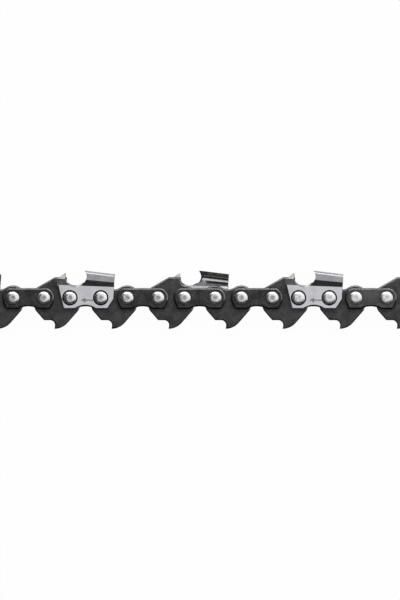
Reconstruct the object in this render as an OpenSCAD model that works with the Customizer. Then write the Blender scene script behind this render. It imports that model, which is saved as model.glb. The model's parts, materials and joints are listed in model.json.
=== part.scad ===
// Low-profile saw chain: a straight stretch of drive links, cutters, tie straps and rivets.
// The chain lies on its side. X runs along the chain and it travels towards -X,
// Y points from the tangs to the cutters, and Z is the axis of every rivet.
// The origin is the centre of the open hole at the left end, in the chain's middle plane.

/* [Chain] */
// Pitch: half the distance over any three rivets
pitch = 9.32; // [9.1:0.01:9.6]
// Distance between the two holes of a drive link
drive_spacing = 8.59; // [8.4:0.01:8.8]
// Number of outer links, each a pair of plates on two rivets
link_count = 8; // [2:1:11]

/* [Drive links] */
// Thickness of a drive link, which is the width of the bar groove it runs in
gauge = 1.3; // [1.1:0.05:1.6]
// Radius of the round ears, about the rivets
ear_r = 4.04; // [3.8:0.02:4.15]
// Height of the lowest point of the saddle between the ears, above the rivet line
saddle_h = 2.75; // [2.4:0.05:3.2]
// Depth of the hook tip of the tang below the rivet line
tang_depth = 10.17; // [9.7:0.01:10.8]
// Depth of the step in front of the hook
step_depth = 7.32; // [7:0.02:7.6]
// Radius of the scoop between the step and the hook tip
scoop_r = 1.65; // [1.2:0.05:2]
// Radius of the belly of the tang
belly_r = 5.96; // [5.6:0.02:6.2]
// Distance of the hook tip ahead of the middle of the link
hook_x = 0.8; // [0.6:0.05:1]
// How far the scoop cuts in behind the hook tip
hook_undercut = 0.15; // [0.05:0.05:0.3]
// Slope of the belly where it leaves the hook tip
belly_lean = 1.6; // [0.5:0.1:3]
// Half width of the tang at its shoulders
shoulder_x = 7.02; // [6.8:0.02:7.1]
// Depth of the shoulders of the tang below the rivet line
shoulder_depth = 4.12; // [3.9:0.02:4.3]
// Slope of the flank of the tang that leads
lead_angle = 49; // [46:0.5:52]
// Height of the guard's flat top above the rivet line
guard_h = 6.75; // [6.4:0.05:7.1]
// Place of the front end of the guard's flat top, ahead of the middle
guard_front_x = 0.65; // [0.4:0.05:1.2]
// Place of the rear end of the guard, behind the middle
guard_rear_x = 3.25; // [2.9:0.05:3.4]
// Radius of the hollow where the guard meets the rear ear
guard_hollow_r = 1.6; // [1.2:0.05:2]
// Radius of the guard's corners
guard_corner_r = 0.3; // [0.1:0.05:0.5]
// Radius of the tang's shoulders
shoulder_r = 0.8; // [0.4:0.05:1]
// Radius of the corner between the leading flank and the step
step_corner_r = 0.4; // [0.2:0.05:0.6]

/* [Plates] */
// Thickness of a tie strap and of a cutter's body
plate_t = 1.35; // [1.2:0.05:1.5]
// Radius of the round ends of a tie strap
strap_end_r = 3.43; // [3.2:0.01:3.55]
// Height of the top edge of a tie strap above the rivet line
strap_top = 3.18; // [3:0.02:3.2]
// Depth of the bottom edge of a tie strap, which rides on the bar
strap_bottom = 3.65; // [3.5:0.01:3.8]
// Rise of the arch in the bottom edge of a tie strap
strap_arch = 0.84; // [0.6:0.02:1]
// Half width of the arch in the bottom edge of every plate
arch_half = 3.4; // [3:0.05:3.8]
// Reach of a plate's foot beyond its rivet
foot_x = 2.2; // [1.9:0.05:2.4]
// Radius of a plate's feet
foot_r = 0.6; // [0.3:0.05:0.8]

/* [Cutters] */
// Depth of the bottom edge of a cutter, which rides on the bar
cutter_bottom = 3.6; // [3.4:0.01:3.7]
// Rise of the arch in the bottom edge of a cutter
cutter_arch = 1.1; // [0.8:0.05:1.3]
// Reach of the cutter ahead of its middle
cutter_front_x = 9.36; // [9.2:0.02:9.5]
// Reach of the cutter behind its middle
cutter_rear_x = 9.7; // [9.5:0.02:9.8]
// Height of the depth gauge above the rivet line
gauge_tip_h = 8.03; // [7.8:0.01:8.2]
// Height of the foot of the depth gauge's nose
gauge_heel_h = 4.5; // [4.3:0.05:4.8]
// Height of the depth gauge's nose, where its slope starts
gauge_nose_h = 6; // [5.7:0.05:6.3]
// Length of the flat on top of the depth gauge
gauge_tip_w = 0.3; // [0.2:0.05:0.5]
// Radius of the depth gauge's corners
gauge_r = 0.35; // [0.1:0.05:0.5]
// How much of the depth gauge's rounded top is ground flat
gauge_ground = 0.2; // [0.1:0.05:0.3]
// Height where the depth gauge's inner face starts to taper
gauge_taper_h = 6.34; // [6.3:0.01:6.44]
// Slope of that face towards the tip
gauge_taper = 4; // [2:0.5:6]
// How far the body's front edge stands back under the depth gauge
chin_inset = 0.36; // [0.2:0.02:0.5]
// How far the heel stands in from the rear end
heel_inset = 0.55; // [0.3:0.05:0.8]
// Depth of the heel below the rivet line
heel_depth = 0.6; // [0.3:0.05:1]
// Radius of the heel
heel_r = 1.6; // [1:0.1:2]
// How far the rear end leans in at the foot of the side plate
rear_lean = 0.3; // [0.1:0.05:0.5]
// Height of the top plate's cutting corner above the rivet line
top_h = 8.9; // [8.6:0.02:9.2]
// Slope of the top plate down to its rear
top_relief = 7.1; // [5:0.1:9]
// Side reach of the cutting corner from the middle plane, half of the width that it cuts
kerf_half = 3.3; // [3.15:0.01:3.45]
// Inward slope of the side plate towards the rear
side_relief = 2; // [1:0.1:3]
// Reach of the top plate past the middle plane
top_overlap = 1.1; // [0.8:0.05:1.4]
// Thickness of the top plate
top_t = 1.15; // [1:0.05:1.3]
// Radius of the corner between side plate and top plate, outside
corner_r = 1.1; // [0.9:0.05:1.4]
// Radius of the same corner, inside
inner_corner_r = 1.3; // [1:0.05:1.5]
// Height where the side plate starts to lean out, at the cutting corner
lean_h = 3.87; // [3.7:0.01:4]
// Lean of that part of the side plate, from upright
lean_angle = 31.5; // [29:0.5:36]
// Slope of its lower edge down to the rear
lean_fall = 2.2; // [1.5:0.1:3]
// Radius of the gullet between the depth gauge and the cutting edges
gullet_r = 3.1; // [2.9:0.01:3.2]
// Height of the gullet's centre above the rivet line
gullet_h = 6.9; // [6.7:0.02:7.1]
// Distance of the gullet's centre ahead of the middle of the cutter
gullet_x = 3.3; // [3.2:0.02:3.5]
// Fall of the gullet's floor towards the outside
gullet_fall = 28; // [20:1:30]
// Radius of the round file that sharpens the cutting edges
file_r = 2.3; // [2.2:0.01:2.4]
// Height of the file's centre above the rivet line
file_h = 6.75; // [6.65:0.01:6.9]
// Distance of the file's centre ahead of the middle of the cutter, at the cutting corner
file_x = 2.1; // [2:0.02:2.2]
// Angle that the file gives the top plate's edge, in plan
file_angle = 27; // [20:1:30]
// Fall of the file towards the outside
file_fall = 10; // [5:1:12]

/* [Rivets] */
// Radius of a rivet's flange, on which the drive links turn
flange_r = 2.2; // [2:0.05:2.35]
// Radius of a rivet's shank inside the plates
shank_r = 1.65; // [1.5:0.05:1.8]
// Height of the straight rim of a rivet's head
head_rim = 0.12; // [0.05:0.01:0.2]
// Radius of a rivet's head
head_r = 2.15; // [2:0.02:2.25]
// Height of a rivet's head above its seat
head_h = 0.75; // [0.6:0.05:0.9]
// Radius of the flat on a rivet's head
head_flat_r = 1; // [0.8:0.05:1.3]
// Depth of the dimple in a rivet's head
dimple = 0.12; // [0.05:0.01:0.2]
// Radius of the ring pressed into a plate round a rivet's head
ring_r = 2.5; // [2.35:0.01:2.55]
// Depth of that ring, where the head is seated
ring_depth = 0.2; // [0.1:0.02:0.3]

/* [Clearances] */
// Gap round a flange in a drive link's hole
turning_gap = 0.05; // [0.02:0.01:0.08]
// Gap between a drive link and the plate on each side of it
side_gap = 0.05; // [0.03:0.01:0.1]
// Gap round a shank in a plate's hole
shank_gap = 0.01; // [0.01:0.005:0.03]

/* [Hidden] */
$fn = 64;
// A full turn, in degrees
turn = 360;
// Angles between the points of an outline's arcs and of a rivet head's dome
arc_step = 8;
dome_step = 15;
// How far a cut or a blank runs past the metal
margin = 1;
// Length of the round cuts across a cutter
file_reach = 2 * pitch;
// Share of the gullet's radius that is open straight up, just inside its widest point
gullet_wall = 0.98;
// Width over which the file's cut is open upwards, into the gullet
file_path = gullet_x - file_x + file_r;

// Half distances between holes, and the levels of the plates either side of the middle plane
drive_half = drive_spacing / 2;
plate_half = pitch - drive_half;
inner_z = gauge / 2 + side_gap;
outer_z = inner_z + plate_t;
seat_z = outer_z - ring_depth;

function drive_x(k) = (k - 1) * 2 * pitch + drive_half;
function link_x(k) = drive_x(k) + pitch;

// Odd outer links carry one cutter, by turns on the right and on the left of the chain
function cutter_side(k) = k % 4 == 1 ? "right" : k % 4 == 3 ? "left" : "none";
function plate_name(k, side) = str(side, cutter_side(k) == side ? "_cutter_" : "_strap_", k);
function drive_name(k) = str(k % 2 == 1 ? "guard_drive_link_" : "drive_link_", k);
function rivet_name(k, end) = str("rivet_", k, "_", end);

// Points of an arc about c, both ends included
function arc(c, r, a0, a1) =
    let (n = max(2, ceil(abs(a1 - a0) / arc_step)))
    [for (i = [0 : n]) on_circle(c, r, a0 + (a1 - a0) * i / n)];

// One point of a circle
function on_circle(c, r, a) = c + r * [cos(a), sin(a)];

// Direction of a vector, from 0 up to a full turn
function bearing(v) = let (a = atan2(v.y, v.x)) a < 0 ? a + turn : a;

// Where a tangent from p touches the circle about c, as an angle on that circle
function touch(p, c, r, side) = bearing(p - c) + side * acos(r / norm(p - c));

// A corner at b, on the way from a to c, rounded with radius r
function rounded(a, b, c, r) =
    let (
        u = (a - b) / norm(a - b),
        w = (c - b) / norm(c - b),
        half = acos(u * w) / 2,
        m = b + (u + w) / norm(u + w) * r / sin(half),
        from = bearing(b + u * r / tan(half) - m),
        to = bearing(b + w * r / tan(half) - m),
        sweep = (to - from + 3 * turn / 2) % turn - turn / 2
    )
    arc(m, r, from, from + sweep);

// Holes of a drive link, and its two ears round them
rear_ear = [drive_half, 0];
front_ear = [-drive_half, 0];
flange_hole_r = flange_r + turning_gap;

// Tang of a drive link: shoulders, step, scoop, hook tip and belly
lead_shoulder = [-shoulder_x, -shoulder_depth];
trail_shoulder = [shoulder_x, -shoulder_depth];
step_corner = lead_shoulder + (step_depth - shoulder_depth) * [1 / tan(lead_angle), -1];
hook_tip = [-hook_x, -tang_depth];
scoop_c = [hook_undercut - hook_x - scoop_r, -step_depth - scoop_r];
belly_c = hook_tip + belly_r * [-sin(belly_lean), cos(belly_lean)];
belly_end = turn + touch(trail_shoulder, belly_c, belly_r, -1);

// Where each shoulder's edge leaves its ear
rear_ear_start = touch(trail_shoulder, rear_ear, ear_r, 1) - turn;
front_ear_end = touch(lead_shoulder, front_ear, ear_r, -1);

tang = concat(
    rounded(on_circle(front_ear, ear_r, front_ear_end), lead_shoulder, step_corner, shoulder_r),
    rounded(lead_shoulder, step_corner, scoop_c + [0, scoop_r], step_corner_r),
    arc(scoop_c, scoop_r, 90, 0),
    arc(belly_c, belly_r, 270 + belly_lean, belly_end),
    rounded(
        on_circle(belly_c, belly_r, belly_end), trail_shoulder,
        on_circle(rear_ear, ear_r, rear_ear_start), shoulder_r
    )
);

// A plain link's saddle is one circle that touches both ears
saddle_r = (drive_half ^ 2 + saddle_h ^ 2 - ear_r ^ 2) / (2 * (ear_r - saddle_h));
saddle_c = [0, saddle_h + saddle_r];
saddle_angle = atan2(saddle_c.y, drive_half);

plain_outline = concat(
    arc(rear_ear, ear_r, rear_ear_start, turn / 2 - saddle_angle),
    arc(saddle_c, saddle_r, turn - saddle_angle, turn / 2 + saddle_angle),
    arc(front_ear, ear_r, saddle_angle, front_ear_end),
    tang
);

// A guard link's ramp touches its front ear, and a hollow joins its rear end to the rear ear
guard_top_front = [-guard_front_x, guard_h];
guard_top_rear = [guard_rear_x, guard_h];
hollow_x = guard_rear_x + guard_hollow_r;
hollow_c = [hollow_x, sqrt((ear_r + guard_hollow_r) ^ 2 - (hollow_x - drive_half) ^ 2)];
ramp_end = touch(guard_top_front, front_ear, ear_r, 1);

guard_outline = concat(
    arc(rear_ear, ear_r, rear_ear_start, bearing(hollow_c - rear_ear)),
    arc(hollow_c, guard_hollow_r, bearing(rear_ear - hollow_c), turn / 2),
    rounded(hollow_c - [guard_hollow_r, 0], guard_top_rear, guard_top_front, guard_corner_r),
    rounded(guard_top_rear, guard_top_front, on_circle(front_ear, ear_r, ramp_end), guard_corner_r),
    arc(front_ear, ear_r, ramp_end, front_ear_end),
    tang
);

// The arch in a plate's bottom edge, from front to rear
function arch(depth, rise) =
    let (
        r = (arch_half ^ 2 + rise ^ 2) / (2 * rise),
        spread = asin(arch_half / r)
    )
    arc([0, rise - depth - r], r, 90 + spread, 90 - spread);

// Tie strap: round ends about the rivets, flat top, feet that slant in to the arched bottom
strap_rivet = [plate_half, 0];
strap_foot = [plate_half + foot_x, -strap_bottom];
strap_end_start = touch(strap_foot, strap_rivet, strap_end_r, 1) - turn;
strap_end_top = asin(strap_top / strap_end_r);

strap_half = concat(
    rounded([0, -strap_bottom], strap_foot, on_circle(strap_rivet, strap_end_r, strap_end_start), foot_r),
    arc(strap_rivet, strap_end_r, strap_end_start, strap_end_top)
);

strap_outline = concat(
    strap_half,
    [for (i = [len(strap_half) - 1 : -1 : 0]) [-strap_half[i].x, strap_half[i].y]],
    arch(strap_bottom, strap_arch)
);

// Side view of a cutter: rear end, open top, depth gauge, front edge and arched bottom
cutter_top = top_h + margin;
cutter_foot_rear = [plate_half + foot_x, -cutter_bottom];
cutter_foot_front = [-plate_half - foot_x, -cutter_bottom];
cutter_heel = [cutter_rear_x - heel_inset, -heel_depth];
cutter_shoulder = [cutter_rear_x - rear_lean, lean_h];
gauge_heel = [-cutter_front_x, gauge_heel_h];
gauge_nose = [-cutter_front_x, gauge_nose_h];
gauge_tip = [-gullet_x - gullet_r - gauge_tip_w, gauge_tip_h];
cutter_chin = [-cutter_front_x + chin_inset, lean_h];

cutter_outline = concat(
    rounded([0, -cutter_bottom], cutter_foot_rear, cutter_heel, foot_r),
    rounded(cutter_foot_rear, cutter_heel, cutter_shoulder, heel_r),
    [cutter_shoulder, [cutter_rear_x, cutter_top], [-gullet_x, cutter_top], [-gullet_x, gauge_tip_h]],
    rounded([-gullet_x, gauge_tip_h], gauge_tip, gauge_nose, gauge_r),
    rounded(gauge_tip, gauge_nose, gauge_heel, gauge_r),
    [gauge_heel, cutter_chin],
    rounded(cutter_chin, cutter_foot_front, [0, -cutter_bottom], foot_r),
    arch(cutter_bottom, cutter_arch)
);

// Cross-section of a cutter's bent plate at x, as [outward, up]: the body, the side plate that
// leans out from it, the round corner and the top plate that reaches back over the middle.
// Ahead of the gullet its crown is lower, and that is the depth gauge
function cutter_section(x) =
    let (
        bottom = -cutter_bottom - margin,
        back = max(0, x),
        side = kerf_half - back * tan(side_relief),
        top = top_h - back * tan(top_relief),
        crown = x < -gullet_x ? gauge_tip_h + gauge_ground : top,
        low = lean_h - x * tan(lean_fall),
        high = low + (side - outer_z) / tan(lean_angle),
        inside = side - plate_t
    )
    concat(
        [[outer_z, bottom], [outer_z, low], [side, high]],
        arc([side - corner_r, crown - corner_r], corner_r, 0, 90),
        [[-top_overlap, crown], [-top_overlap, top - top_t]],
        arc([inside - inner_corner_r, top - top_t - inner_corner_r], inner_corner_r, 90, 0),
        [[inside, high], [inner_z, low], [inner_z, bottom]]
    );

// The bent plate as a skin over cross-sections from its front to its rear. The crown rises from
// the depth gauge to the top plate in the open part of the gullet
module bent_plate() {
    stations = [
        -cutter_front_x - margin, -gullet_x - gullet_r / 2, -gullet_x, 0, cutter_rear_x + margin
    ];
    sections = [for (x = stations) cutter_section(x)];
    n = len(sections[0]);
    last = (len(stations) - 1) * n;
    polyhedron(
        points = [for (s = [0 : len(stations) - 1], p = sections[s]) [stations[s], p.y, p.x]],
        faces = concat(
            [[for (i = [n - 1 : -1 : 0]) i]],
            [[for (i = [0 : n - 1]) last + i]],
            [for (s = [0 : n : last - n], i = [0 : n - 1]) [s + i, s + (i + 1) % n, s + n + i]],
            [for (s = [0 : n : last - n], i = [0 : n - 1]) [s + n + i, s + (i + 1) % n, s + n + (i + 1) % n]]
        )
    );
}

// A round cut of radius r that opens upwards over a width w ahead of its centre
module open_cut(r, w) {
    cylinder(h = file_reach, r = r, center = true);
    translate([-w, 0, -file_reach / 2]) cube([w, cutter_top, file_reach]);
}

// The gullet runs straight across the chain, and the file that sharpens the edges lies askew
module gullet() {
    translate([-gullet_x, gullet_h, outer_z]) rotate([gullet_fall, 0, 0])
        open_cut(gullet_r, gullet_r * gullet_wall);
    translate([-file_x, file_h, kerf_half]) rotate([file_fall, -file_angle, 0])
        open_cut(file_r, file_path);
}

// The depth gauge has no top plate: its inner face runs on up the side plate, with a slight taper
module gauge_trim() {
    translate([-cutter_front_x - margin, gauge_taper_h, kerf_half - plate_t])
        rotate([gauge_taper, 0, 0])
            translate([0, 0, -file_reach])
                cube([cutter_front_x + margin - gullet_x, cutter_top, file_reach]);
}

// Shank holes through a plate, with the rings pressed round the rivet heads
module rivet_seats() {
    for (side = [-1, 1]) translate([side * plate_half, 0, 0]) {
        cylinder(h = outer_z + margin, r = shank_r + shank_gap);
        translate([0, 0, seat_z]) cylinder(h = ring_depth + margin, r = ring_r);
    }
}

module drive_link(outline) {
    color([0.2, 0.2, 0.21]) difference() {
        translate([0, 0, -gauge / 2]) linear_extrude(gauge) polygon(outline);
        for (ear = [front_ear, rear_ear]) translate([ear.x, ear.y, -gauge])
            cylinder(h = 2 * gauge, r = flange_hole_r);
    }
}

module tie_strap() {
    color([0.22, 0.22, 0.23]) difference() {
        translate([0, 0, inner_z]) linear_extrude(plate_t) polygon(strap_outline);
        rivet_seats();
    }
}

module cutter() {
    color([0.78, 0.78, 0.8]) difference() {
        intersection() {
            bent_plate();
            translate([0, 0, -top_overlap - margin])
                linear_extrude(top_overlap + kerf_half + 2 * margin) polygon(cutter_outline);
        }
        rivet_seats();
        gullet();
        gauge_trim();
    }
}

// Half of a rivet's profile, from its middle plane to the dimple in its head
rivet_half = concat(
    [[flange_r, inner_z], [shank_r, inner_z], [shank_r, seat_z], [head_r, seat_z]],
    [for (a = [0 : dome_step : 90]) [
        head_flat_r + (head_r - head_flat_r) * cos(a),
        seat_z + head_rim + (head_h - head_rim) * sin(a)
    ]],
    [[0, seat_z + head_h - dimple]]
);

module rivet() {
    color([0.85, 0.85, 0.87]) rotate_extrude() polygon(concat(
        rivet_half,
        [for (i = [len(rivet_half) - 1 : -1 : 0]) [rivet_half[i].x, -rivet_half[i].y]]
    ));
}

// One plate of outer link k, on the left or the right of the chain
module plate(k, side) {
    translate([link_x(k), 0, 0]) mirror([0, 0, side == "left" ? 0 : 1])
        if (cutter_side(k) == side) cutter();
        else tie_strap();
}

for (k = [1 : link_count + 1])
    translate([drive_x(k), 0, 0]) drive_link(k % 2 == 1 ? guard_outline : plain_outline);

for (k = [1 : link_count], side = ["left", "right"])
    plate(k, side);

for (k = [1 : link_count], end = ["front", "rear"])
    translate([link_x(k) + (end == "front" ? -plate_half : plate_half), 0, 0]) rivet();
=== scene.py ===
import json
import math

import bmesh
import bpy
import numpy as np
from mathutils.geometry import delaunay_2d_cdt
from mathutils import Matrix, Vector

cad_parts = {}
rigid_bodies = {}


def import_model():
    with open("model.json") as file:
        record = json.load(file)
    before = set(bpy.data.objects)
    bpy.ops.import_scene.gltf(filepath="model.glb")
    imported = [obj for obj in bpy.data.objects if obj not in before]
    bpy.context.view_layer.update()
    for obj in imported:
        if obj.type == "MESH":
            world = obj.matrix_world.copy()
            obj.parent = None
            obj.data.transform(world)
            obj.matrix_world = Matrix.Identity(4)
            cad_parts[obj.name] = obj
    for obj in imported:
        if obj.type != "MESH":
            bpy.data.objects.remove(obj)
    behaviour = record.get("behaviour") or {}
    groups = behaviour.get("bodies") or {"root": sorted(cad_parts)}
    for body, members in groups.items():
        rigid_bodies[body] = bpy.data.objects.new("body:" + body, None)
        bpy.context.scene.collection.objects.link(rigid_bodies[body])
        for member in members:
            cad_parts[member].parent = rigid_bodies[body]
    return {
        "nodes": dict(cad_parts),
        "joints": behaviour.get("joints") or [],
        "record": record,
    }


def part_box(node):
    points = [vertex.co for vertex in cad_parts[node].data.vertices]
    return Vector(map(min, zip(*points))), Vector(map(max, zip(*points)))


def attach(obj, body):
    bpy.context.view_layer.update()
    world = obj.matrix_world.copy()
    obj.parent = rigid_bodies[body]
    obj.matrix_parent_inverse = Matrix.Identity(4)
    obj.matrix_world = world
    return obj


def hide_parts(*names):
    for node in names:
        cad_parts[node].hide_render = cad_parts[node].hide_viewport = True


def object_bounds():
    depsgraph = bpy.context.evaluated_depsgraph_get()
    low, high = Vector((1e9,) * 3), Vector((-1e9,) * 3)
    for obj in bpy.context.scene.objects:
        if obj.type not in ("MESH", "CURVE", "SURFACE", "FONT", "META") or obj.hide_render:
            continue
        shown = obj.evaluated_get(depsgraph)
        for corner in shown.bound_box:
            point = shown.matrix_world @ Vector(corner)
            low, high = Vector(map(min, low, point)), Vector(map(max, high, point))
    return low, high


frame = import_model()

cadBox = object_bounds()
mm = 0.001
weld = 1e-6  # metres within which two corners are one
flatNormal = 0.99  # a face whose normal has a larger Z than this lies level
bodies = frame["record"]["behaviour"]["bodies"]
bodyOf = {node: body for body, nodes in bodies.items() for node in nodes}
scene = bpy.context.scene
print("frame loaded:", len(frame["nodes"]), "nodes")

# Shader maths


class Wire:
    # A node's socket: arithmetic on wires and numbers adds Math nodes to the tree

    def __init__(self, tree, socket=None):
        self.tree = tree
        self.socket = socket

    def node(self, kind, settings=None, sockets=None, out=0):
        # Any other node: its settings come first, then the values or wires of its sockets
        made = self.tree.nodes.new("ShaderNode" + kind)
        for key, value in (settings or {}).items():
            setattr(made, key, value)
        for key, value in (sockets or {}).items():
            target = made.inputs[key]
            if isinstance(value, Wire):
                self.tree.links.new(value.socket, target)
            else:
                target.default_value = value
        return Wire(self.tree, made.outputs[out] if made.outputs else None)

    def calc(self, operation, *others):
        return self.node("Math", {"operation": operation}, dict(enumerate((self, *others))))

    def __add__(self, other):
        return self.calc("ADD", other)

    def __mul__(self, other):
        return self.calc("MULTIPLY", other)

    def __rsub__(self, other):
        minus = self.calc("MULTIPLY", -1)
        return minus.calc("ADD", other)

    def step(self, low, high):
        # 0 below low, 1 above high, and smooth between
        return self.node("MapRange", {"interpolation_type": "SMOOTHSTEP"},
                         {"Value": self, "From Min": low, "From Max": high})

    def mixColour(self, colourA, colourB):
        # This wire is the factor between two colours
        return self.node("Mix", {"data_type": "RGBA"}, {0: self, 6: colourA, 7: colourB}, out=2)

    def noise(self, place, sizeMm, detail, roughness=0.5):
        # Noise whose cells are about as wide as the given size
        return self.node("TexNoise", {}, {"Vector": place, "Scale": 1 / (sizeMm * mm), "Detail": detail,
                                          "Roughness": roughness})

    def bump(self, height, strength, depthMm):
        return self.node("Bump", {}, {"Height": height, "Strength": strength, "Distance": depthMm * mm})


def newMaterial(name, metal):
    # A Principled material, with the coordinates that its patterns lie on
    material = bpy.data.materials.new(name)
    material.use_nodes = True
    tree = material.node_tree
    shader = tree.nodes["Principled BSDF"]
    shader.inputs["Metallic"].default_value = metal
    start = Wire(tree)
    return material, shader, start, start.node("TexCoord", out=3)


def connect(shader, start, sockets):
    for key, wire in sockets.items():
        start.tree.links.new(wire.socket, shader.inputs[key])


def rgb(*values):
    # Display values from 0 to 255 made linear
    return tuple(((value / 255 + 0.055) / 1.055) ** 2.4 for value in values) + (1,)


# Finishes: colours are display values, and sizes are in millimetres

cloudSpan = (0.3, 0.7)  # the middle part of a noise, which a soft cloud uses
blackSteel = {"colour": (88, 86, 87), "light": (136, 132, 132), "dark": (64, 62, 63), "roughness": 0.56,
              "metal": 0.75, "cloudMm": 2.6, "cloudRough": 0.16, "speckMm": 0.45, "lightSpan": (0.57, 0.74),
              "darkSpan": (0.28, 0.43), "flecks": 0.28, "pits": 0.9, "fleckRough": 0.12, "bump": 0.35,
              "grain": 0.05}


def blackenedSteel(name, look):
    # Blackened steel: soft clouds of tone, small light and dark specks, fine pressed grain
    material, shader, start, place = newMaterial(name, look["metal"])
    cloud = start.noise(place, look["cloudMm"], 3.0)
    speck = start.noise(place, look["speckMm"], 2.0)
    lightSpeck = speck.step(*look["lightSpan"])
    darkSpeck = 1 - speck.step(*look["darkSpan"])
    base = cloud.step(*cloudSpan).mixColour(rgb(*look["dark"]), rgb(*look["colour"]))
    tone = (lightSpeck * look["flecks"]).mixColour(base, rgb(*look["light"]))
    tone = (darkSpeck * look["pits"]).mixColour(tone, rgb(*look["dark"]))
    evenRough = look["roughness"] - look["cloudRough"] / 2
    rough = cloud * look["cloudRough"] + lightSpeck * look["fleckRough"] + evenRough
    bump = start.bump(speck, look["bump"], look["grain"])
    connect(shader, start, {"Base Color": tone, "Roughness": rough, "Normal": bump})
    return material


chrome = {"colour": (200, 200, 204), "shade": (186, 186, 190), "roughness": 0.21, "metal": 1.0,
          "cloudMm": 2.6, "brushMm": 0.12, "stretch": 0.12, "unevenRough": 0.1, "bump": 0.25, "grain": 0.004}


def satinChrome(name, look):
    # Satin chrome over ground steel: faint streaks along the chain and cloudy roughness
    material, shader, start, place = newMaterial(name, look["metal"])
    stretched = start.node("Mapping", {}, {"Vector": place, "Scale": (look["stretch"], 1.0, 1.0)})
    streak = start.noise(stretched, look["brushMm"], 2.0)
    cloud = start.noise(place, look["cloudMm"], 3.0)
    tone = cloud.step(*cloudSpan).mixColour(rgb(*look["shade"]), rgb(*look["colour"]))
    uneven = look["unevenRough"]
    rough = cloud * uneven + streak * uneven + (look["roughness"] - uneven)
    bump = start.bump(streak, look["bump"], look["grain"])
    connect(shader, start, {"Base Color": tone, "Roughness": rough, "Normal": bump})
    return material


rivetLook = {"colour": (236, 236, 238), "shade": (142, 140, 142), "roughness": 0.27, "metal": 1.0,
             "mottleMm": 0.28, "waver": 0.6, "toolSpan": (0.6, 1.7), "stain": 0.6, "toolRough": 0.22,
             "mottleRough": 0.12, "bump": 0.5, "grain": 0.02}


def rivetSteel(name, look):
    # Peened steel: bright dome, mottled grey where the tool pressed the middle of the head
    material, shader, start, place = newMaterial(name, look["metal"])
    fromAxis = start.node("Attribute", {"attribute_name": "fromAxis"}, out=2)
    mottle = start.noise(place, look["mottleMm"], 4.0, 0.65)
    inside = 1 - (fromAxis + mottle * look["waver"]).step(*look["toolSpan"])
    stain = inside * (mottle.step(*cloudSpan) * look["stain"] + (1 - look["stain"]))
    tone = stain.mixColour(rgb(*look["colour"]), rgb(*look["shade"]))
    evenRough = look["roughness"] - look["mottleRough"] / 2
    rough = inside * look["toolRough"] + mottle * look["mottleRough"] + evenRough
    bump = start.bump(mottle, look["bump"], look["grain"])
    connect(shader, start, {"Base Color": tone, "Roughness": rough, "Normal": bump})
    return material


linkSteel = blackenedSteel("linkSteel", blackSteel)
strapSteel = blackenedSteel("strapSteel", {**blackSteel, "colour": (76, 74, 75), "dark": (52, 50, 50),
                                           "flecks": 0.55, "grain": 0.06})
cutterChrome = satinChrome("cutterChrome", chrome)
# A darker copy of the chrome: painted shade on the side plate's outer face and on the arrow's walls
shadedChrome = satinChrome("shadedChrome", {**chrome, "colour": (158, 158, 162), "shade": (144, 144, 148)})
edgeSteel = blackenedSteel("edgeSteel", {**blackSteel, "colour": (134, 132, 133), "dark": (110, 108, 109),
                                         "light": (150, 148, 148), "roughness": 0.22, "metal": 1.0})
# Near-black steel: the plates' sheared walls, and painted shade on strap faces that face -Y and on the
# cutters' dark places
wallAndShadeSteel = blackenedSteel("wallAndShadeSteel", {**blackSteel, "colour": (26, 25, 25), "dark": (18, 17, 17),
                                         "light": (40, 39, 39), "roughness": 0.5})
cornerChrome = satinChrome("cornerChrome", {**chrome, "colour": (196, 196, 200), "roughness": 0.36})
gaugeChrome = satinChrome("gaugeChrome", {**chrome, "roughness": 0.6})
# Filed steel on the gullet's floor, partly painted highlight: near white and mostly not metal, so it stays
# bright whatever it faces
filedSteelAndHighlight = satinChrome("filedSteelAndHighlight", {**chrome, "colour": (250, 250, 250), "shade": (242, 242, 244),
                                        "roughness": 0.4, "metal": 0.2})
headSteel = rivetSteel("headSteel", rivetLook)
# A lighter copy of the rivet steel for the rivets of links 7 and 8: painted light, as the right end of the
# chain is lit brighter
brightHead = rivetSteel("brightHead", {**rivetLook, "shade": (228, 227, 228), "roughness": 0.34})
# A lighter copy of the strap steel for left_strap_8: painted light, as the right end of the chain is lit
# brighter
paintedLightStrap = blackenedSteel("paintedLightStrap", {**blackSteel, "colour": (100, 98, 99), "dark": (78, 76, 77),
                                         "light": (126, 123, 123)})
print("finishes made")

# Outlines and flat faces, in millimetres


def mergedCopy(node):
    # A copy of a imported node, with its loose triangles joined
    work = bmesh.new()
    work.from_mesh(frame["nodes"][node].data)
    bmesh.ops.remove_doubles(work, verts=work.verts, dist=weld)
    return work


def loopsRound(faces):
    # The closed loops round some level faces, as arrays of X and Y. The faces come as a list in the
    # mesh's own order, so that every run gives the same result.
    inside = set(faces)
    follow = {}
    for face in faces:
        for loop in face.loops:
            if loop.link_loop_radial_next.face not in inside:
                follow[loop.vert] = loop.link_loop_next.vert
    loops = []
    while follow:
        vert, after = follow.popitem()
        chain = [after]
        while after is not vert:
            after = follow.pop(after)
            chain.append(after)
        loops.append(np.array([v.co.xy / mm for v in chain]))
    return loops


def outlineOf(node):
    # The outline of the node's upper face, counter-clockwise
    work = mergedCopy(node)
    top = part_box(node)[1].z
    upper = [face for face in work.faces
             if face.normal.z > flatNormal and abs(face.calc_center_median().z - top) < 10 * weld]
    loops = loopsRound(upper)
    work.free()
    return max(loops, key=lambda points: np.ptp(points[:, 0]))


def toOutline(points, outline):
    # Distance of each point from the nearest edge of the outline
    step = np.roll(outline, -1, 0) - outline
    away = points[:, None] - outline
    share = np.clip((away * step).sum(2) / (step * step).sum(1), 0, 1)
    return np.hypot(*np.moveaxis(away - share[..., None] * step, 2, 0)).min(1)


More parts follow.
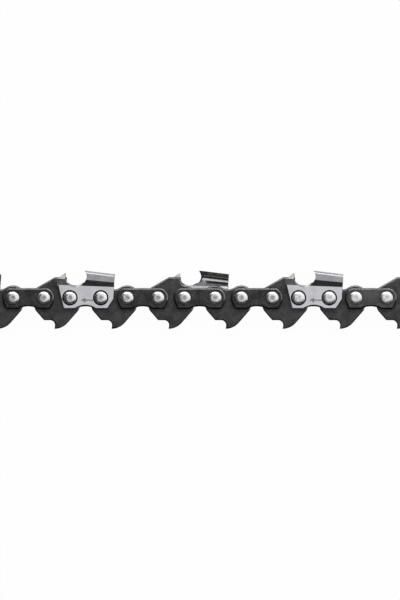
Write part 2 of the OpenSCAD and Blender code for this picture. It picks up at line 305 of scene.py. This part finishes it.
def isWithin(points, outline):
    # Even-odd rule: counts the edges that a ray towards +X crosses
    after = np.roll(outline, -1, 0)
    x, y = points[:, :1], points[:, 1:]
    spans = (outline[:, 1] > y) != (after[:, 1] > y)
    rise = after[:, 1] - outline[:, 1]
    run = after[:, 0] - outline[:, 0]
    cross = outline[:, 0] + (y - outline[:, 1]) * run / np.where(rise == 0, 1, rise)
    return (spans & (x < cross)).sum(1) % 2 == 1


def fillLoops(loops, extra):
    # A flat Delaunay mesh inside the first loop and outside all the others, with extra points
    starts = np.cumsum([0] + [len(loop) for loop in loops])
    edges = [(first + k, first + (k + 1) % len(loop))
             for first, loop in zip(starts, loops) for k in range(len(loop))]
    origin = loops[0].mean(0)
    local = (np.concatenate([*loops, *extra]) - origin).tolist()
    flat, _, faces, *_ = delaunay_2d_cdt(local, edges, [], 1, weld)
    flat, faces = np.array(flat) + origin, np.array(faces)
    middles = flat[faces].mean(1)
    inHole = sum((isWithin(middles, hole) for hole in loops[1:]), np.zeros(len(faces), bool))
    return flat, faces[~inHole]


def circle(centreX, radius, steps=64):
    angle = np.linspace(0, 2 * np.pi, steps, endpoint=False)
    return np.column_stack([centreX + radius * np.cos(angle), radius * np.sin(angle)])


def atLevel(points, level):
    # Flat points given their height, which is one number or one for each point
    return np.column_stack([points, np.broadcast_to(level, len(points))])


# Links and straps: each one is stamped from the imported node's outline, with rounded edges.
# The rounded edges are given as width and height. wallSlope and faceSlope are limits for the Z of
# a face's normal, and shadeUnderSlope is one for its Y: strap faces whose normals point further
# towards -Y take the near-black wall finish as painted shade.

stamping = {"link": (0.55, 0.4), "outside": (0.75, 0.4), "inside": (0.2, 0.15), "rings": 7, "longest": 0.35,
            "wallSlope": 0.72, "faceSlope": 0.975, "shadeUnderSlope": -0.1, "slightBend": 0.25, "shortEdge": 1.2,
            "ringShare": 0.985, "boreGap": 0.04, "linkHalf": 4.295, "strapHalf": 5.025, "linkBore": 2.25,
            "seat": 2.5, "seatDepth": 0.2, "bore": 1.66}
plateFinishes = {"face": 0, "edge": 1, "wall": 2}


def smoothOutline(points, low, high):
    # Puts a point on the arc over each short edge between two slight bends: it stands off by
    # L/2 tan(t/4), for a length L and a mean bend t. Longer edges are then cut into equal pieces.
    step = np.roll(points, -1, 0) - points
    length = np.hypot(*step.T)
    heading = np.arctan2(step[:, 1], step[:, 0])
    bend = (heading - np.roll(heading, 1) + np.pi) % (2 * np.pi) - np.pi
    after = np.roll(bend, -1)
    slight = np.maximum(abs(bend), abs(after)) < stamping["slightBend"]
    onArc = slight & (length < stamping["shortEdge"])
    rise = length / 2 * np.tan(np.where(onArc, bend + after, 0) / 8)
    outward = np.column_stack([step[:, 1], -step[:, 0]]) / length[:, None]
    middle = points + step / 2 + outward * rise[:, None]
    fine = np.clip(np.stack([points, middle], 1).reshape(-1, 2), low, high)
    step = np.roll(fine, -1, 0) - fine
    count = np.ceil(np.hypot(*step.T) / stamping["longest"]).astype(int)
    start = np.repeat(np.arange(len(fine)), count)
    part = np.arange(count.sum()) - np.repeat(np.cumsum(count) - count, count)
    return fine[start] + step[start] * (part / count[start])[:, None]


def sunk(points, outline, width, height):
    # How far a face lies under its flat level, near the rounded edge
    near = np.clip(1 - toOutline(points, outline) / width, 0, 1)
    return height * (1 - np.sqrt(1 - near ** 2))


def broadFace(outline, axes, bore, level, up, width, height):
    # One broad face of a plate. Rings of points lie at the distances w(1 - cos a) inside the outline,
    # a Delaunay mesh joins them, and a point at distance d sinks by h(1 - sqrt(1 - (1 - d/w)^2)):
    # the edge is a quarter of an ellipse, w wide and h high.
    step = np.roll(outline, -1, 0) - outline
    normal = np.column_stack([-step[:, 1], step[:, 0]]) / np.hypot(*step.T)[:, None]
    normal = normal + np.roll(normal, 1, 0)
    normal *= 2 / (normal * normal).sum(1)[:, None]  # as long as a mitred corner needs
    angles = np.radians(np.linspace(0, 90, stamping["rings"] + 1)[1:])
    rings = []
    for inset in width * (1 - np.cos(angles)):
        ring = outline + normal * inset
        keep = (toOutline(ring, outline) > stamping["ringShare"] * inset) & isWithin(ring, outline)
        for x in axes:
            keep &= np.hypot(ring[:, 0] - x, ring[:, 1]) > bore + stamping["boreGap"]
        rings.append(ring[keep])
    flat, faces = fillLoops([outline] + [circle(x, bore) for x in axes], rings)
    return atLevel(flat, level - up * sunk(flat, outline, width, height)), faces[:, ::up]


def stampPlate(node, materials):
    # A link or a strap: two broad faces, the wall between them and two bores, stepped on a strap
    low, high = (np.array(corner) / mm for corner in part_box(node))
    outline = smoothOutline(outlineOf(node), low[:2], high[:2])
    isStrap = "strap" in node
    side = -1 if node.startswith("right") else 1
    half = stamping["strapHalf" if isStrap else "linkHalf"]
    axes = [(low[0] + high[0]) / 2 + k * half for k in (-1, 1)]
    parts, faces, rims, bores = [], [], {}, {}

    def add(points, mesh):
        faces.extend((mesh + sum(len(part) for part in parts)).tolist())
        parts.append(points)

    def addRings(rings, turn):
        # A band of quads through rings of equal length
        steps = len(rings[0])
        k = np.arange(steps)
        after = (k + 1) % steps
        band = np.stack([k, after, after + steps, k + steps], 1)[:, ::turn]
        add(np.concatenate(rings), np.concatenate([band + r * steps for r in range(len(rings) - 1)]))

    for up, level in ((1, high[2]), (-1, low[2])):
        if not isStrap:
            edge, radius = stamping["link"], stamping["linkBore"]
        elif up == side:
            edge, radius = stamping["outside"], stamping["seat"]
        else:
            edge, radius = stamping["inside"], stamping["bore"]
        add(*broadFace(outline, axes, radius, level, up, *edge))
        rims[up] = atLevel(outline, level - up * edge[1])
        rings = [circle(x, radius) for x in axes]
        bores[up] = [atLevel(ring, level - up * sunk(ring, outline, *edge)) for ring in rings]
    addRings([rims[-1], rims[1]], 1)
    for x, lower, upper in zip(axes, bores[-1], bores[1]):
        seat = (high[2] if side > 0 else low[2]) - side * stamping["seatDepth"]
        steps = [atLevel(circle(x, stamping[key]), seat) for key in ("bore", "seat")[::side]]
        addRings([lower, *(steps if isStrap else []), upper], -1)
    mesh = bpy.data.meshes.new("stamped")
    mesh.from_pydata((np.concatenate(parts) * mm).tolist(), [], faces)
    work = bmesh.new()
    work.from_mesh(mesh)
    bmesh.ops.remove_doubles(work, verts=work.verts, dist=weld)
    work.normal_update()
    for face in work.faces:
        face.smooth = True
        slope = abs(face.normal.z)
        # Painted shade: on a strap, faces turned towards -Y take the near-black wall finish
        isShadedUnder = isStrap and face.normal.y < stamping["shadeUnderSlope"]
        isWallOrShadedUnder = slope < stamping["wallSlope"] or isShadedUnder
        finish = "face" if slope > stamping["faceSlope"] else "wall" if isWallOrShadedUnder else "edge"
        face.material_index = plateFinishes[finish]
    return placePlate(work, node, materials)


shading = {"crease": 24, "weight": 90}


def placePlate(work, node, materials):
    # Marks every crease as sharp, and makes the piece
    openEdges = sum(len(edge.link_faces) != 2 for edge in work.edges)
    if openEdges:
        print("open edges on", node, openEdges)
    for edge in work.edges:
        edge.smooth = edge.smooth and edge.calc_face_angle(0) < math.radians(shading["crease"])
    mesh = bpy.data.meshes.new(node)
    work.to_mesh(mesh)
    work.free()
    if "custom_normal" in mesh.attributes:
        mesh.attributes.remove(mesh.attributes["custom_normal"])
    for material in materials:
        mesh.materials.append(material)
    piece = bpy.data.objects.new("plate_" + node, mesh)
    scene.collection.objects.link(piece)
    even = piece.modifiers.new("evenNormals", "WEIGHTED_NORMAL")
    even.keep_sharp = True
    even.weight = shading["weight"]
    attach(piece, bodyOf[node])
    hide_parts(node)
    return piece


# Cutters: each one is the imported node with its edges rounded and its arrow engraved

# Two pairs of these look the same: the names tell which faces roundEdges and engraveArrow made
cutterFinishes = {"face": cutterChrome, "edge": cutterChrome, "dark": wallAndShadeSteel, "inside": strapSteel,
                  "side": shadedChrome, "arrow": shadedChrome, "dull": gaugeChrome, "filed": filedSteelAndHighlight,
                  "corner": cornerChrome}
finishNames = list(cutterFinishes)
finishIndex = {name: index for index, name in enumerate(finishNames)}

# Width of each rounded edge, its segments and its finish
# The gullet's two rounded edges take the near-black steel: painted dark lines of shade
cutterEdges = {"body": (0.34, 4, "edge"), "top": (0.1, 2, "dull"), "gullet": (0.12, 2, "dark"),
               "gulletRim": (0.14, 1, "dark"), "seat": (0.05, 1, "face")}
creaseAngle = 38  # an edge that bends by less than this isn't rounded
flatAngle = 0.3  # triangles that bend by less than this become one face

# Places on a cutter: X from its middle, Y from the rivet line and Z from the chain's middle plane,
# outwards. The tilts are limits for the Z of a face's normal, outwards too, and rimNormalX is one
# for its X.
cutterPlaces = {"outerZ": 2.05, "bodyZ": (0.6, 2.06), "seatReach": 2.68, "seatZ": (1.83, 2.04),
                "groundX": (-6.6, 3.0), "groundY": 3.2, "topY": 3.4, "gulletY": 5, "rimY": 7.4,
                "rimNormalX": -0.35, "borderY": 2.5, "insideZ": -0.9, "sideZ": 2.9, "topX": -5,
                "cornerY": 6.6, "gaugeX": -3, "gaugeY": 3.1, "filedX": -1, "filedY": 6.5}
cutterTilts = {"wall": 0.1, "open": 0.5, "inside": -0.9, "filed": (0.05, 0.75), "gauge": (0.3, 0.97),
               "corner": (0.1, 0.98), "side": 0.98}


def isBetween(value, span):
    return span[0] < value < span[1]


def roundEdges(work, name, chosen):
    # Rounds the creases that the test picks. The test gets the normals of an edge's two faces, and
    # the edge's middle in millimetres.
    width, segments, finish = cutterEdges[name]
    edges = []
    for edge in work.edges:
        if len(edge.link_faces) != 2 or edge.calc_face_angle() < math.radians(creaseAngle):
            continue
        normals = [face.normal for face in edge.link_faces]
        middle = (edge.verts[0].co + edge.verts[1].co) / (2 * mm)
        if chosen(normals, middle):
            edges.append(edge)
    bmesh.ops.bevel(work, geom=edges, offset=width * mm, offset_type="OFFSET", segments=segments, profile=0.5,
                    affect="EDGES", clamp_overlap=False, material=finishIndex[finish])
    work.normal_update()


def inOrder(work):
    # The same mesh with its corners and faces sorted by place, because the steps before this one
    # leave them in an order that varies from run to run
    verts = sorted(work.verts, key=lambda vert: tuple(vert.co))
    rank = {vert: k for k, vert in enumerate(verts)}
    faces = []
    for face in work.faces:
        corners = [rank[vert] for vert in face.verts]
        first = corners.index(min(corners))
        faces.append((corners[first:] + corners[:first], face.material_index))
    ordered = bmesh.new()
    made = [ordered.verts.new(vert.co) for vert in verts]
    for corners, finish in sorted(faces):
        ordered.faces.new([made[k] for k in corners]).material_index = finish
    work.free()
    return ordered


arrow = {"tip": -1.0, "tail": 2.28, "height": -0.85, "barb": 0.8, "spread": 0.4, "width": 0.48,
         "floor": 0.05, "depth": 0.064}


def arrowOutline(half):
    # Nine corners of an arrow that points to -X with its tip at 0: a shaft and two barbs, each grown
    # by the half width of a stroke, so that the edges of two strokes meet in mitred corners
    lean = math.atan2(arrow["spread"], arrow["barb"])
    along = np.array([math.cos(lean), math.sin(lean)])
    out = np.array([-math.sin(lean), math.cos(lean)])
    end = along * (math.hypot(arrow["barb"], arrow["spread"]) + half)
    upper = [end + out * half, end - out * half, [half * (1 + math.cos(lean)) / math.sin(lean), half],
             [arrow["tail"] - arrow["tip"] + half, half]]
    return np.array([[-half / math.sin(lean), 0], *upper, *([x, -y] for x, y in upper[::-1])])


def engraveArrow(work, centre, side):
    # Makes the outer face anew with the plain travel arrow in it: a groove whose walls slope in
    # from the arrow's outline to a narrower one at its floor
    plane = side * cutterPlaces["outerZ"]
    nearPlane = 0.004
    levelTilt = 0.999
    old = [face for face in work.faces
           if face.normal.z * side > levelTilt
           and abs(face.calc_center_median().z / mm - plane) < nearPlane]
    loops = sorted(loopsRound(old), key=lambda points: -np.ptp(points[:, 0]))
    bmesh.ops.delete(work, geom=old, context="FACES")
    place = [centre + arrow["tip"], arrow["height"]]
    rim, floor = (arrowOutline(arrow[key] / 2) + place for key in ("width", "floor"))
    deep = plane - side * arrow["depth"]
    flat, flatFaces = fillLoops([*loops, rim], [])
    bottom, bottomFaces = fillLoops([floor], [])
    corners = len(rim)
    k = np.arange(corners)
    after = (k + 1) % corners
    wall = np.concatenate([atLevel(rim, plane), atLevel(floor, deep)])
    wallFaces = np.stack([after, k, k + corners, after + corners], 1)
    # The groove's walls take the darker copy of the chrome, painted shade that dims their highlight
    for points, mesh, finish in ((atLevel(flat, plane), flatFaces, "face"), (wall, wallFaces, "arrow"),
                                 (atLevel(bottom, deep), bottomFaces, "face")):
        verts = [work.verts.new(v) for v in points * mm]
        for face in mesh[:, ::side]:
            work.faces.new([verts[i] for i in face]).material_index = finishIndex[finish]
    bmesh.ops.remove_doubles(work, verts=work.verts, dist=2 * weld)


def finishCutter(node):
    work = mergedCopy(node)
    bmesh.ops.dissolve_limit(work, angle_limit=math.radians(flatAngle), verts=work.verts, edges=work.edges)
    work.normal_update()
    axes = [joint["pos_m"][0] / mm for joint in frame["joints"]
            if bodyOf[node] in (joint["parent"], joint["child"])]
    centre = sum(axes) / 2
    side = -1 if node.startswith("right") else 1
    at = cutterPlaces
    tilts = cutterTilts

    def isFlat(normals):
        return max(abs(n.z) for n in normals) > flatNormal

    def nearSeat(p):
        return min(math.hypot(p.x - x, p.y) for x in axes) < at["seatReach"]

    def isBody(n, p):
        return isFlat(n) and isBetween(p.z * side, at["bodyZ"]) and not nearSeat(p)

    def isGround(p):
        # The gullet and the cutting edges keep their sharp corners
        return isBetween(p.x - centre, at["groundX"]) and p.y > at["groundY"]

    def isTop(n, p):
        return p.y > at["topY"] and not isGround(p) and not isBody(n, p)

    def isGullet(n, p):
        # The filed curve's inner edge
        return isGround(p) and p.y < at["gulletY"] and min(v.z * side for v in n) < tilts["inside"]

    def isGulletRim(n, p):
        # The outer edge of the depth gauge's wall above the gullet
        wall = min(n, key=lambda v: abs(v.z))
        isUpright = abs(wall.z) < tilts["wall"] and wall.x > at["rimNormalX"]
        return isGround(p) and p.y < at["rimY"] and isUpright and max(v.z * side for v in n) > tilts["open"]

    roundEdges(work, "body", lambda n, p: isBody(n, p) and not isGround(p))
    roundEdges(work, "top", isTop)
    roundEdges(work, "gullet", isGullet)
    roundEdges(work, "gulletRim", isGulletRim)
    roundEdges(work, "seat", lambda n, p: isFlat(n) and nearSeat(p))
    work = inOrder(work)
    work.normal_update()
    engraveArrow(work, centre, side)
    work.normal_update()
    for edge in work.edges:
        edge.smooth = all(face.material_index != finishIndex["arrow"] for face in edge.link_faces)
    for face in work.faces:
        # Where two of these rules hold for a face, the later one wins
        middle = face.calc_center_median() / mm
        x, y, z = middle.x - centre, middle.y, middle.z * side
        tilt = face.normal.z * side
        finish = finishNames[face.material_index]
        # Painted shade: the recessed ring round each rivet head takes the near-black steel
        if nearSeat(middle) and isBetween(abs(z), at["seatZ"]):
            finish = "dark"
        # Painted shade: the body's rounded edge next to the gullet and gauge takes the near-black steel as a
        # dark line
        isBorder = isBetween(x, at["groundX"]) and y > at["borderY"]
        if finish == "edge" and isBorder and isBetween(tilt, tilts["filed"]):
            finish = "dark"
        if tilt < tilts["inside"] and z < at["insideZ"]:
            finish = "inside"
        # Painted shade: the side plate's outer face takes the darker copy of the chrome
        if abs(tilt) > tilts["side"] and abs(z) > at["sideZ"] and x > at["topX"]:
            finish = "side"
        if finish != "dark" and y > at["cornerY"] and x > at["topX"] and isBetween(tilt, tilts["corner"]):
            finish = "corner"
        isGauge = x < at["gaugeX"] and y > at["gaugeY"]
        if finish in ("face", "edge") and isGauge and isBetween(tilt, tilts["gauge"]):
            finish = "dull"
        # Painted highlight, partly filed steel: the gullet's floor takes the near-white finish
        isFiled = isGround(middle) and y < at["filedY"] and x < at["filedX"]
        if finish == "face" and isFiled and isBetween(tilt, tilts["filed"]):
            finish = "filed"
        face.material_index = finishIndex[finish]
        face.smooth = True
    return placePlate(work, node, cutterFinishes.values())


plates = {}
for node in sorted(frame["nodes"]):
    if "cutter" in node:
        plates[node] = finishCutter(node)
    elif not node.startswith("rivet"):
        # left_strap_8 takes the lighter copy: painted light
        face = paintedLightStrap if node == "left_strap_8" else strapSteel if "strap" in node else linkSteel
        plates[node] = stampPlate(node, [face, edgeSteel, wallAndShadeSteel])
print("plates finished:", len(plates))

# Rivets

rivetShape = {"flange": 2.2, "flangeHalf": 0.7, "shank": 1.65, "seat": 1.85, "head": 2.15, "top": 2.6,
              "flat": 0.75, "dimple": 0.03, "rim": 0.12, "domeSteps": 13, "dishSteps": 12, "steps": 64,
              "crease": 40}
hammering = {"depth": 0.024, "waves": 8, "pace": (2.5, 6), "spread": 4, "reach": 1.7, "fade": 0.9,
             "headZ": 2}


def rivetProfile(shape):
    # Radius and height along half a rivet, from the flange's middle to the dimple in the head.
    # The dome is a quarter of an ellipse from the rim to the flat, and the dimple a parabola inside it.
    dome = np.radians(np.linspace(0, 90, shape["domeSteps"]))
    rise = shape["top"] - shape["seat"] - shape["rim"]
    radius = shape["flat"] + (shape["head"] - shape["flat"]) * np.cos(dome)
    height = shape["seat"] + shape["rim"] + rise * np.sin(dome)
    inner = np.linspace(1, 0, shape["dishSteps"])[1:]
    dish = shape["top"] - shape["dimple"] * (1 - inner ** 2)
    return np.concatenate([
        [[shape["flange"], 0], [shape["flange"], shape["flangeHalf"]], [shape["shank"], shape["flangeHalf"]],
         [shape["shank"], shape["seat"]], [shape["head"], shape["seat"]]],
        np.stack([radius, height], 1),
        np.stack([inner * shape["flat"], dish], 1),
    ])


def makeRivet(node, seed):
    # A surface of revolution: the profile turned about Z. On the head, the height also gets a sum of
    # plane waves with random directions, which are strongest on the flat that the tool pressed.
    shape = rivetShape
    low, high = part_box(node)
    centreX = (low.x + high.x) / 2
    half = rivetProfile(shape)
    profile = np.concatenate([half[::-1] * [1, -1], half[1:]])[1:-1]
    turn = np.linspace(0, 2 * np.pi, shape["steps"], endpoint=False)
    x = profile[:, 0, None] * np.cos(turn)
    y = profile[:, 0, None] * np.sin(turn)
    z = np.repeat(profile[:, 1, None], len(turn), 1)
    random = np.random.default_rng(seed)
    waves = hammering["waves"]
    wave = random.normal(0, 1, (waves, 2)) * random.uniform(*hammering["pace"], (waves, 1))
    phase = random.uniform(0, 2 * np.pi, (waves, 2))

    def hammered(x, y, z):
        side = (z < 0).astype(int)
        sums = sum(np.cos(w[0] * x + w[1] * y + p[side]) for w, p in zip(wave, phase)) / hammering["spread"]
        fade = np.clip((hammering["reach"] - np.hypot(x, y)) / hammering["fade"], 0, 1)
        return z + np.sign(z) * hammering["depth"] * fade * (abs(z) > hammering["headZ"]) * sums

    z = hammered(x, y, z)
    dip = np.array([shape["top"] - shape["dimple"]])
    poles = [[0, 0, hammered(np.zeros(1), np.zeros(1), sign * dip)[0]] for sign in (-1, 1)]
    rings, steps = x.shape
    points = np.concatenate([np.stack([x, y, z], 2).reshape(-1, 3), poles])
    ring, step = np.meshgrid(np.arange(rings - 1), np.arange(steps), indexing="ij")
    after = (step + 1) % steps
    quads = np.stack([ring * steps + step, ring * steps + after,
                      (ring + 1) * steps + after, (ring + 1) * steps + step], 2).reshape(-1, 4)
    around = np.arange(steps)
    nextAround = (around + 1) % steps
    last = (rings - 1) * steps
    bottom = np.stack([nextAround, around, np.full(steps, rings * steps)], 1)
    top = np.stack([last + around, last + nextAround, np.full(steps, rings * steps + 1)], 1)
    mesh = bpy.data.meshes.new("rivet_" + node)
    faces = quads.tolist() + bottom.tolist() + top.tolist()
    mesh.from_pydata((points * mm + [centreX, 0, 0]).tolist(), [], faces)
    fromAxis = np.hypot(points[:, 0], points[:, 1]).astype(np.float32)
    mesh.attributes.new("fromAxis", "FLOAT", "POINT").data.foreach_set("value", fromAxis)
    mesh.shade_smooth()
    mesh.set_sharp_from_angle(angle=math.radians(shape["crease"]))
    # Rivets of links 7 and 8 take the lighter copy: painted light
    mesh.materials.append(brightHead if "_8_" in node or "_7_" in node else headSteel)
    piece = bpy.data.objects.new("peened_" + node, mesh)
    scene.collection.objects.link(piece)
    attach(piece, bodyOf[node])
    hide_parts(node)
    return piece


rivetNodes = sorted(node for node in frame["nodes"] if node.startswith("rivet"))
rivets = [makeRivet(node, seed) for seed, node in enumerate(rivetNodes)]
print("rivets made:", len(rivets))

# Stage: a white floor, with cards and a dark sheet on it that only mirror rays see: they give the
# metal its dark and grey sides. Sizes are in metres.

stage = {"middleX": 0.08, "floorHalf": 3.0, "floorColour": 0.95, "whiteShare": 0.97, "cardDark": 0.045,
         "cardGrey": 0.15, "cardSteps": 12, "worldDiffuse": 0.55, "sheetHalf": 1, "sheetY": (-1.5, 0.009),
         "sheetLift": 5e-5}
white = (1, 1, 1, 1)


def stagePiece(name, mesh, material):
    piece = bpy.data.objects.new(name, mesh)
    scene.collection.objects.link(piece)
    mesh.materials.append(material)
    return piece


def mirrorOnly(piece):
    piece.visible_camera = piece.visible_diffuse = piece.visible_shadow = False


def flatSheet(name, half, lowY, highY, z):
    mesh = bpy.data.meshes.new(name)
    corners = [(-half, lowY, z), (half, lowY, z), (half, highY, z), (-half, highY, z)]
    mesh.from_pydata(corners, [], [(0, 1, 2, 3)])
    return mesh


def backgroundShare(start):
    # 1 for rays from the camera, and for mirrored and refracted ones
    light = start.tree.nodes.new("ShaderNodeLightPath")
    rays = ("Is Camera Ray", "Is Glossy Ray", "Is Transmission Ray")
    camera, glossy, through = (Wire(start.tree, light.outputs[ray]) for ray in rays)
    return camera.calc("MAXIMUM", glossy).calc("MAXIMUM", through)


def bareMaterial(name):
    material = bpy.data.materials.new(name)
    material.use_nodes = True
    material.node_tree.nodes.clear()
    return material, Wire(material.node_tree)


def floorMaterial():
    material, start = bareMaterial("paleFloor")
    level = stage["floorColour"]
    matt = start.node("BsdfDiffuse", {}, {"Color": (level, level, level, 1)})
    bright = start.node("Emission", {}, {"Color": white, "Strength": 1.0})
    both = start.node("MixShader", {}, {0: backgroundShare(start) * stage["whiteShare"], 1: matt, 2: bright})
    start.node("OutputMaterial", {}, {"Surface": both})
    return material


def cardMaterial(level):
    material, start = bareMaterial("card")
    glow = start.node("Emission", {}, {"Color": (level, level, level, 1)})
    start.node("OutputMaterial", {}, {"Surface": glow})
    return material


def arcCard(name, heading, fromAngle, toAngle, level, radius=0.9, half=1.6):
    # A sheet bent over the chain: it stands off along heading, in degrees from +X, and its own angles
    # go from the floor (0) to straight overhead (90)
    steps = stage["cardSteps"]
    angle = np.radians(np.linspace(fromAngle, toAngle, steps + 1))
    out, up = radius * np.cos(angle), radius * np.sin(angle)
    turn = math.radians(heading)
    ahead, across = np.array([math.cos(turn), math.sin(turn)]), np.array([-math.sin(turn), math.cos(turn)])
    middle = [stage["middleX"], 0]
    places = [out[:, None] * ahead + side * across + middle for side in (-half, half)]
    points = np.concatenate([np.column_stack([place, up]) for place in places])
    k = np.arange(steps)
    mesh = bpy.data.meshes.new(name)
    faces = np.stack([k, k + 1, k + steps + 2, k + steps + 1], 1)
    mesh.from_pydata(points.tolist(), [], faces.tolist())
    mirrorOnly(stagePiece(name, mesh, cardMaterial(level)))


floorZ = cadBox[0].z
reach = stage["floorHalf"]
stagePiece("floor", flatSheet("floor", reach, -reach, reach, floorZ), floorMaterial())
arcCard("lowerCard", -90, 1, 72, stage["cardDark"])
arcCard("leftCard", 180, 1, 76, stage["cardDark"], half=0.6)
arcCard("upperCard", 90, 1, 35, stage["cardGrey"], radius=1.2)
lowerSheet = flatSheet("lowerSheet", stage["sheetHalf"], *stage["sheetY"], floorZ + stage["sheetLift"])
mirrorOnly(stagePiece("lowerSheet", lowerSheet, cardMaterial(stage["cardDark"])))

lamp = {"elevation": 42, "distance": 0.85, "width": 1.15, "height": 0.11, "watts": 2.5, "heading": 84}
keyLight = bpy.data.lights.new("keyLight", "AREA")
keyLight.shape = "RECTANGLE"
keyLight.size, keyLight.size_y = lamp["width"], lamp["height"]
keyLight.energy = lamp["watts"]
keyObject = bpy.data.objects.new("keyLight", keyLight)
tilt, heading = math.radians(90 - lamp["elevation"]), math.radians(lamp["heading"])
away = lamp["distance"] * math.sin(tilt)
keyObject.location = (stage["middleX"] + away * math.cos(heading), away * math.sin(heading),
                      lamp["distance"] * math.cos(tilt))
keyObject.rotation_euler = (-tilt, 0, heading - math.pi / 2)
keyObject.visible_camera = False
scene.collection.objects.link(keyObject)

world = bpy.data.worlds.new("studio")
world.use_nodes = True
scene.world = world
background = world.node_tree.nodes["Background"]
strength = backgroundShare(Wire(world.node_tree)) * (1 - stage["worldDiffuse"]) + stage["worldDiffuse"]
world.node_tree.links.new(strength.socket, background.inputs["Strength"])
background.inputs["Color"].default_value = white
print("stage made")

# Camera: straight down on the chain, at the photograph's scale

cameraView = {"centre": (88.3, -0.72), "heightMm": 195.7, "lens": 200, "sensor": 36, "planeMm": 2}
camera = bpy.data.cameras.new("camera")
camera.lens, camera.sensor_width = cameraView["lens"], cameraView["sensor"]
cameraObject = bpy.data.objects.new("camera", camera)
distanceMm = cameraView["heightMm"] * cameraView["lens"] / cameraView["sensor"] + cameraView["planeMm"]
cameraObject.location = [place * mm for place in (*cameraView["centre"], distanceMm)]
scene.collection.objects.link(cameraObject)
scene.camera = cameraObject
scene.view_settings.view_transform = "Standard"
print("camera at", [round(v, 4) for v in cameraObject.location])
